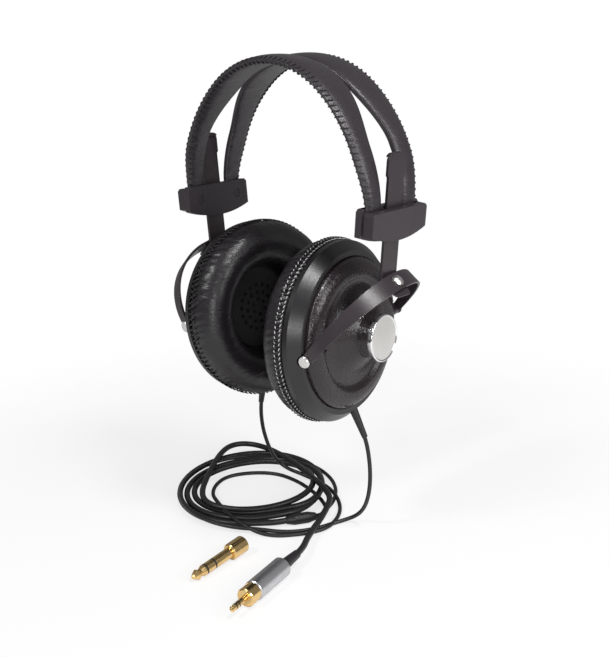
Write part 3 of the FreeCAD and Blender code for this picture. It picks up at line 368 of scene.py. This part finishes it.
def band_line(distance):
    """Where the strap's middle runs, and which way it faces, at a distance from the crown."""
    side = 1 if distance >= 0 else -1
    remaining = abs(distance)
    for radius, start, end, middle in band_bends:
        run = radius * math.radians(end - start)
        angle = math.radians(start) + min(remaining, run) / radius
        facing = Vector((side * math.sin(angle), 0, math.cos(angle)))
        spot = Vector((side * middle[0], 0, middle[1])) + facing * radius
        if remaining <= run:
            return spot, facing
        remaining -= run
    onward = Vector((side * math.cos(angle), 0, -math.sin(angle)))
    return spot + onward * remaining, facing


def eased(value, low, high):
    """0 at low and 1 at high, smooth between, for plain numbers."""
    share = min(max((value - low) / (high - low), 0.0), 1.0)
    return share * share * (3 - 2 * share)


def strap_edges(height):
    """The slit edge and the outer edge of the front strap, measured forward, at a height."""
    slit = 0.0005 + 0.0088 * eased(-height, 0.006, 0.042)
    outer = 0.0246 - 0.0034 * eased(-height, 0.045, 0.074)
    return slit, outer


def made_piece(name, shape, finish, smooth=True):
    """Turns a finished bmesh into a piece of one material."""
    mesh = bpy.data.meshes.new(name)
    shape.to_mesh(mesh)
    shape.free()
    mesh.materials.append(finish)
    for face in mesh.polygons:
        face.use_smooth = smooth
    piece = bpy.data.objects.new(name, mesh)
    view.link(piece)
    return piece


def padded_strap(name, forward):
    """One strap, swept along the band with a crowned section that is thin at its sewn edge."""
    shape = bmesh.new()
    steps = 150
    corners = 26
    crown_thick = 0.0029
    wrinkle = 0.00034
    rings = []
    for step in range(steps + 1):
        distance = band_half * (2 * step / steps - 1)
        spot, facing = band_line(distance)
        slit, outer = strap_edges(spot.z)
        tuck = 1 - 0.18 * eased(-spot.z, 0.058, 0.078)
        ring = []
        for corner in range(corners):
            around = 2 * math.pi * corner / corners
            share = 0.5 - 0.5 * math.cos(around)
            full = abs(math.sin(around)) ** 0.62
            sewn = 1 - 0.45 * eased(share, 0.72, 1.0)
            thick = crown_thick * full * sewn * tuck
            if math.sin(around) < 0:
                fold = noise.noise(Vector((distance * 240, share * 3.0, forward * 4.0)))
                thick = -thick * 0.95 + wrinkle * fold * full * eased(-spot.z, 0.012, 0.05)
            wide = slit + (outer - slit) * share
            point = spot + facing * thick
            ring.append(shape.verts.new((point.x, -forward * wide, point.z)))
        rings.append(ring)
    for one, other in zip(rings, rings[1:]):
        for index in range(len(one)):
            after = (index + 1) % len(one)
            shape.faces.new((one[index], one[after], other[after], other[index]))
    shape.faces.new(rings[0])
    shape.faces.new(reversed(rings[-1]))
    bmesh.ops.recalc_face_normals(shape, faces=shape.faces)
    return made_piece(name, shape, strap_skin)


def thread(shape, spots, radius, sides=6):
    """A short length of round thread through some points, with closed ends."""
    rings = []
    for index, spot in enumerate(spots):
        before = spots[max(index - 1, 0)]
        after = spots[min(index + 1, len(spots) - 1)]
        way = (after - before).normalized()
        if rings:
            side = (side - way * side.dot(way)).normalized()
        else:
            side = way.orthogonal().normalized()
        other = way.cross(side)
        thin = 0.7 if index in (0, len(spots) - 1) else 1.0
        ring = []
        for corner in range(sides):
            angle = 2 * math.pi * corner / sides
            offset = side * math.cos(angle) + other * math.sin(angle)
            ring.append(shape.verts.new(spot + offset * radius * thin))
        rings.append(ring)
    for one, two in zip(rings, rings[1:]):
        for corner in range(sides):
            after = (corner + 1) % sides
            shape.faces.new((one[corner], one[after], two[after], two[corner]))
    shape.faces.new(reversed(rings[0]))
    shape.faces.new(rings[-1])


def spun_thread(name, dark, light, rough):
    """Spun fibre, darker between its plies."""
    finish, place = new_finish(name)
    ply = cloudy(place, 0.0004, 2.0)
    return finished(finish, Base_Color=blended(ply, dark, light), Roughness=rough + ply * 0.2,
                    Normal=raised(ply, 0.0001, 0.6))


dark_thread = spun_thread("dark_thread", (0.004, 0.003, 0.004, 1), (0.014, 0.012, 0.014, 1), 0.40)


def whipstitches(name, forward):
    """Loops of thread over the strap's outer edge, each leaning along it."""
    shape = bmesh.new()
    pitch = 0.0034
    lean = 0.0024
    half_high = 0.0019
    bite = 0.0037
    reach = 0.0034
    bare_end = 0.010
    parts = 8
    count = int((band_half - bare_end) / pitch)
    for number in range(-count, count + 1):
        spots = []
        for part in range(parts + 1):
            share = part / parts
            spot, facing = band_line(number * pitch + lean * (share - 0.5))
            outer = strap_edges(spot.z)[1]
            around = math.pi * (share - 0.5)
            out = outer - bite + reach * max(math.cos(around), 0.0) ** 0.8
            point = spot + facing * half_high * math.sin(around)
            spots.append(Vector((point.x, -forward * out, point.z)))
        thread(shape, spots, 0.00044)
    bmesh.ops.recalc_face_normals(shape, faces=shape.faces)
    return made_piece(name, shape, dark_thread)


for name, forward in (("strap_front", 1), ("strap_rear", -1)):
    strap = padded_strap(name + "_padded", forward)
    smoother = strap.modifiers.new("smoother", "SUBSURF")
    smoother.levels = 1
    smoother.render_levels = 1
    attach(strap, "headband")
    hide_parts(name)
    stitches = whipstitches(name + "_whipstitch", forward)
    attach(stitches, "headband")


# The spring strips inside the straps: two blued steel leaves that make the headband grip.
def bare_steel(name, colour, rough):
    """Rolled steel with faint lines up and down it."""
    finish, place = new_finish(name)
    drawn = place.node("Mapping", {}, {"Vector": place, "Scale": (1.0, 1.0, 0.12)})
    lines = cloudy(drawn, 0.0004, 2.0)
    shade = blended(lines, tuple(part * 0.86 for part in colour) + (1,), colour + (1,))
    return finished(finish, Base_Color=shade, Metallic=1.0, Roughness=rough + lines * 0.1,
                    Normal=raised(lines, 0.00002, 0.5))


dress(bare_steel("spring_steel", (0.30, 0.32, 0.36), 0.34), "band_springs")


# The slide blocks: an outer and an inner black cover screwed together over the strap ends,
# with a slot between them that grips the stem. The outer faces are left plain.
block_black = moulded_black("block_plastic", (0.022, 0.017, 0.021), 0.30, 0.0007, 0.00005, 0.0004)
blocks = [f"block_{cover}_{side}" for cover in ("inner", "outer") for side in ("left", "right")]
dress(block_black, *blocks)

black_screw = moulded_black("black_screw", (0.018, 0.016, 0.018), 0.24, 0.0009, 0.00002)
dress(black_screw, "block_screws_left", "block_screws_right")

felt = spun_thread("pressed_felt", (0.030, 0.028, 0.030, 1), (0.070, 0.065, 0.068, 1), 0.8)
dress(felt, "stem_shoe_left", "stem_shoe_right", "damping_felt_left", "damping_felt_right")


# The stems slide in the blocks and the yokes carry the cups: pressed steel strip with softly
# rounded edges, stove enamelled in satin black.
def black_enamel():
    """Satin black enamel with a slight peel, a little paler in clouds."""
    finish, place = new_finish("black_enamel")
    peel = cloudy(place, 0.0014, 2.0)
    cloud = cloudy(place, 0.015, 3.0)
    shade = blended(cloud, (0.018, 0.013, 0.016, 1), (0.032, 0.024, 0.029, 1))
    return finished(finish, Base_Color=shade, Roughness=0.28 + cloud * 0.12,
                    Normal=raised(peel, 0.00004, 0.6, softened(place, 0.00045)))


enamel = black_enamel()
dress(enamel, "stem_left", "stem_right", "yoke_left", "yoke_right")


# The rivet that the yoke turns on, its nylon washer, and the pivot screws at the yoke's ends.
# The rivet and the screws are steel with a satin nickel plating.
bright_screw = plated("nickel_plate", (0.74, 0.73, 0.71), 0.26, 0.90)
dress(bright_screw, "rivet_left", "rivet_right", "pivot_screws_left", "pivot_screws_right")
nylon = moulded_black("washer_nylon", (0.030, 0.028, 0.030), 0.45, 0.0008, 0.00002)
dress(nylon, "rivet_washer_left", "rivet_washer_right")


# The housings: spun domes in black hammer paint, with a ridge, a valley and a flared neck.
# The paint dries in small glossy blisters that sparkle, with a fine dull grain between them.
def hammer_paint():
    """Black paint, glossy on its blisters and duller in the grain between them."""
    finish, place = new_finish("hammer_paint")
    per_metre = 700.0
    blisters = place.node("TexVoronoi", {"feature": "SMOOTH_F1"}, {"Vector": place, "Scale": per_metre})
    grain = cloudy(place, 0.00055, 3.0)
    tint = cloudy(place, 0.018, 3.0)
    spots = 1 - ramp(blisters, 0.16, 0.40)
    shade = blended(tint, (0.008, 0.006, 0.008, 1), (0.020, 0.013, 0.016, 1))
    bump = raised(grain, 0.00012, 0.5, raised(blisters, 0.00035, 0.55))
    return finished(finish, Base_Color=shade, Roughness=0.34 - spots * 0.20, Normal=bump)


dress(hammer_paint(), "housing_left", "housing_right")


# The mounting rings and baffles: smooth black mouldings that hold the cushion to the dome.
ring_black = moulded_black("ring_plastic", (0.008, 0.007, 0.008), 0.24, 0.0011, 0.00003)
dress(ring_black, "mounting_ring_left", "mounting_ring_right", "baffle_left", "baffle_right")


# The caps: turned aluminium discs on the domes' necks, the face brushed in rings and clear
# lacquered, the rim left bright from the lathe tool.
# Each cup faces out at this angle, in degrees, from the line of the rivet over it.
facing_angle = {"left": 47.7, "right": 54.2}
seam_to_pivot = 0.01085
joints = {joint["name"]: joint for joint in frame["joints"]}


def cup_directions(side):
    """The middle of a cup's seam with its cushion, and the ways that are out and down from it."""
    rivet_line = Vector(joints["yoke_swivel_" + side]["axis"]).normalized()
    pivot = joints["cup_tilt_" + side]
    pivot_line = Vector(pivot["axis"]).normalized()
    outward = Matrix.Rotation(-math.radians(facing_angle[side]), 3, pivot_line) @ rivet_line
    middle = Vector(pivot["pos_m"]) - outward * seam_to_pivot
    return middle, outward, outward.cross(pivot_line)


cups = {side: cup_directions(side) for side in ("left", "right")}


def turned_cap(side):
    """Aluminium turned in fine rings about the cap's own middle, smooth and bright at the rim."""
    finish, place = new_finish("turned_cap_" + side)
    middle, outward, down = cups[side]
    cap_height = 0.031
    centre = middle + outward * cap_height
    away = place.node("VectorMath", {"operation": "DISTANCE"}, {0: place, 1: centre}, "Value")
    rim = ramp(away, 0.01195, 0.01225)
    lathe = cloudy(away.node("CombineXYZ", {}, {"X": away}), 0.00012, 2.0)
    shade = blended(rim, (0.56, 0.55, 0.53, 1), (0.80, 0.80, 0.81, 1))
    return finished(finish, Base_Color=shade, Metallic=0.35 + rim * 0.65,
                    Roughness=0.42 - rim * 0.30, Normal=raised(lathe * (1 - rim), 0.00002, 0.4))


for side in cups:
    dress(turned_cap(side), "cap_" + side)


# Behind each cushion: a small moving-coil driver in a steel basket, with a diaphragm of dark
# film, and in front of it a pierced plastic grille.
dress(bare_steel("driver_steel", (0.45, 0.45, 0.46), 0.36), "driver_left", "driver_right")
film = moulded_black("diaphragm_film", (0.020, 0.018, 0.016), 0.30, 0.0016, 0.00005)
dress(film, "diaphragm_left", "diaphragm_right")
grille_black = moulded_black("grille_plastic", (0.003, 0.003, 0.003), 0.6, 0.0007, 0.00003)
dress(grille_black, "grille_left", "grille_right")


# The ear cushions: rings of foam in soft black leatherette, gathered round the back edge and
# sewn there with a double row of thread before they are snapped over the baffle.
cushion_skin = leatherette("cushion_leatherette", (0.005, 0.004, 0.005, 1), (0.015, 0.012, 0.015, 1),
                           0.34, 0.0010, 0.00012)
# The near cup's seam rows are the same dark thread as the far cup's; this pale colour is a painted
# highlight that stands in for light glinting on the loops.
painted_highlight_thread = spun_thread("painted_highlight_thread", (0.34, 0.33, 0.35, 1), (0.70, 0.69, 0.70, 1), 0.5)

# Corners of the ring's section: how far out from the cup's axis, and how far from the seam.
cushion_section = ((0.0276, -0.0006), (0.0272, -0.0045), (0.0276, -0.0090), (0.0300, -0.0140),
                   (0.0345, -0.0178), (0.0400, -0.0195), (0.0455, -0.0184), (0.0500, -0.0148),
                   (0.0523, -0.0104), (0.0530, -0.0064), (0.0526, -0.0030), (0.0514, -0.0008),
                   (0.0450, -0.0005), (0.0360, -0.0005))


def cup_spot(side, around, radius, deep):
    """A point of a cup: round from the bottom, out from its axis, and out from the seam."""
    middle, outward, down = cups[side]
    sideways = outward.cross(down)
    spoke = down * math.cos(around) + sideways * math.sin(around)
    return middle + outward * deep + spoke * radius


def foam_ring(name, side):
    """The cushion's ring, before its cover is smoothed and gathered."""
    shape = bmesh.new()
    count = 90
    rings = []
    for step in range(count):
        around = 2 * math.pi * step / count
        rings.append([shape.verts.new(cup_spot(side, around, *corner)) for corner in cushion_section])
    for index in range(count):
        one = rings[index]
        two = rings[(index + 1) % count]
        for corner in range(len(one)):
            after = (corner + 1) % len(one)
            shape.faces.new((one[corner], one[after], two[after], two[corner]))
    bmesh.ops.recalc_face_normals(shape, faces=shape.faces)
    return made_piece(name, shape, cushion_skin)


def settled(piece):
    """The piece's mesh with its modifiers worked in."""
    bpy.context.view_layer.update()
    ready = piece.evaluated_get(bpy.context.evaluated_depsgraph_get())
    mesh = bpy.data.meshes.new_from_object(ready)
    piece.modifiers.clear()
    piece.data = mesh


def gathered(piece, side):
    """Pulls the cover into small pleats along its back seam, and lets it sag between them."""
    middle, outward, down = cups[side]
    sideways = outward.cross(down)
    pleats = 29
    pleat_deep = 0.00075
    sag_deep = 0.0003
    for vert in piece.data.vertices:
        arm = vert.co - middle
        deep = arm.dot(outward)
        spoke = arm - outward * deep
        radius = spoke.length
        around = math.atan2(spoke.dot(sideways), spoke.dot(down))
        wobble = noise.noise(Vector((math.cos(around) * 3, math.sin(around) * 3, 7.0)))
        pleat = abs(math.sin(around * pleats + wobble * 5 + deep * 260))
        near_seam = eased(radius, 0.0455, 0.0515) * (1 - eased(-deep, 0.006, 0.0165))
        soft = noise.noise(Vector((math.cos(around) * 5, math.sin(around) * 5, deep * 90)))
        sag = sag_deep * soft * eased(-deep, 0.002, 0.008)
        dent = pleat_deep * near_seam * (1 - pleat) ** 1.5 + sag
        inward = -spoke.normalized() * eased(radius, 0.040, 0.050) + outward * 0.55
        vert.co += inward.normalized() * dent


def seam_stitches(name, side, finish):
    """Two rows of short stitches round the cushion's back edge, leaning against each other."""
    shape = bmesh.new()
    count = 128
    parts = 3
    stitch_share = 0.62
    proud = 0.00030
    slant = 0.0007
    for row, (radius, deep) in enumerate(((0.0527, -0.0017), (0.0532, -0.0045))):
        for number in range(count):
            start = 2 * math.pi * (number + 0.5 * row) / count
            spots = []
            for part in range(parts + 1):
                share = part / parts
                around = start + 2 * math.pi / count * stitch_share * share
                rise = proud * math.sin(math.pi * share)
                lean = slant * (share - 0.5) * (1 if row else -1)
                spots.append(cup_spot(side, around, radius + rise, deep + lean))
            thread(shape, spots, 0.00027, 5)
    bmesh.ops.recalc_face_normals(shape, faces=shape.faces)
    return made_piece(name, shape, finish)


def edge_loops(name, side):
    """Loops of thread over the cushion's back edge, from its back round to its side."""
    shape = bmesh.new()
    count = 104
    parts = 5
    slant = 0.050
    for number in range(count):
        start = 2 * math.pi * number / count
        spots = []
        for part in range(parts + 1):
            share = part / parts
            radius = 0.0510 + 0.0023 * min(1.0, 2.2 * share) ** 0.6
            deep = -0.0003 - 0.0068 * share
            spots.append(cup_spot(side, start + slant * share, radius, deep))
        thread(shape, spots, 0.00048)
    bmesh.ops.recalc_face_normals(shape, faces=shape.faces)
    return made_piece(name, shape, dark_thread)


# The left, near cup's seam rows get the pale thread, which is a painted highlight; the right cup's get the
# real dark thread.
for side, seam_thread in (("left", painted_highlight_thread), ("right", dark_thread)):
    cushion = foam_ring("cushion_" + side + "_cover", side)
    cushion.modifiers.new("smoother", "SUBSURF").levels = 2
    settled(cushion)
    gathered(cushion, side)
    for face in cushion.data.polygons:
        face.use_smooth = True
    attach(cushion, "cup_" + side)
    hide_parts("cushion_" + side)
    rows = seam_stitches("cushion_" + side + "_stitching", side, seam_thread)
    loops = edge_loops("cushion_" + side + "_loops", side)
    for sewing in (rows, loops):
        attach(sewing, "cup_" + side)


# The table: a wide pale sheet that runs on behind, kept white where the camera sees it bare.
def pale_table():
    """Matt and nearly white, and lit by itself where the camera sees it, most of all far out."""
    finish, place = new_finish("pale_table")
    finished(finish, Base_Color=(0.86, 0.86, 0.86, 1), Roughness=0.9)
    tree = finish.node_tree
    away = place.node("VectorMath", {"operation": "LENGTH"}, {0: place}, "Value")
    seen = place.node("LightPath", {}, {}, "Is Camera Ray")
    clear = ramp(away, 0.16, 0.42) * 0.26 + 0.74
    plain = place.node("Emission", {}, {"Color": (1, 1, 1, 1), "Strength": 1.0})
    body = Socket(tree, tree.nodes["Principled BSDF"].outputs[0])
    mixed = place.node("MixShader", {}, {0: clear * seen, 1: body, 2: plain})
    tree.links.new(mixed.link, tree.nodes["Material Output"].inputs["Surface"])
    return finish


sheet_shape = bmesh.new()
bmesh.ops.create_circle(sheet_shape, cap_ends=True, segments=96, radius=8.0)
table = made_piece("table", sheet_shape, pale_table(), False)
table.location = (0, 0, table_top)


# The light: a large soft lamp to the right, a smaller one high on the left, one overhead and
# one low in front that catch the paint and the edges, and an even pale room.
def soft_lamp(name, spot, size, power):
    """A square lamp that faces the middle of the cups."""
    lamp = bpy.data.lights.new(name, "AREA")
    lamp.size = size
    lamp.energy = power
    holder = bpy.data.objects.new(name, lamp)
    holder.location = spot
    aim = Vector((0, 0, -0.13)) - Vector(spot)
    holder.rotation_euler = aim.to_track_quat("-Z", "Y").to_euler()
    view.link(holder)


soft_lamp("right_lamp", (0.95, 0.10, 0.25), 0.5, 5.0)
soft_lamp("left_lamp", (-0.20, -0.80, 0.60), 0.16, 4.5)
soft_lamp("overhead_lamp", (0.50, -0.05, 0.78), 0.24, 6.0)
soft_lamp("front_lamp", (0.72, -0.72, 0.06), 0.16, 2.2)

world = bpy.data.worlds.new("studio")
world.use_nodes = True
bpy.context.scene.world = world
room = Socket(world.node_tree, None)
seen = room.node("LightPath", {}, {}, "Is Camera Ray")
mirrored = room.node("LightPath", {}, {}, "Is Glossy Ray")
strength = 0.20 + seen * 0.80 + mirrored * 0.04
backdrop = room.node("Background", {}, {"Color": (1, 1, 1, 1), "Strength": strength})
world.node_tree.links.new(backdrop.link, world.node_tree.nodes["World Output"].inputs["Surface"])
bpy.context.scene.view_settings.view_transform = "Standard"
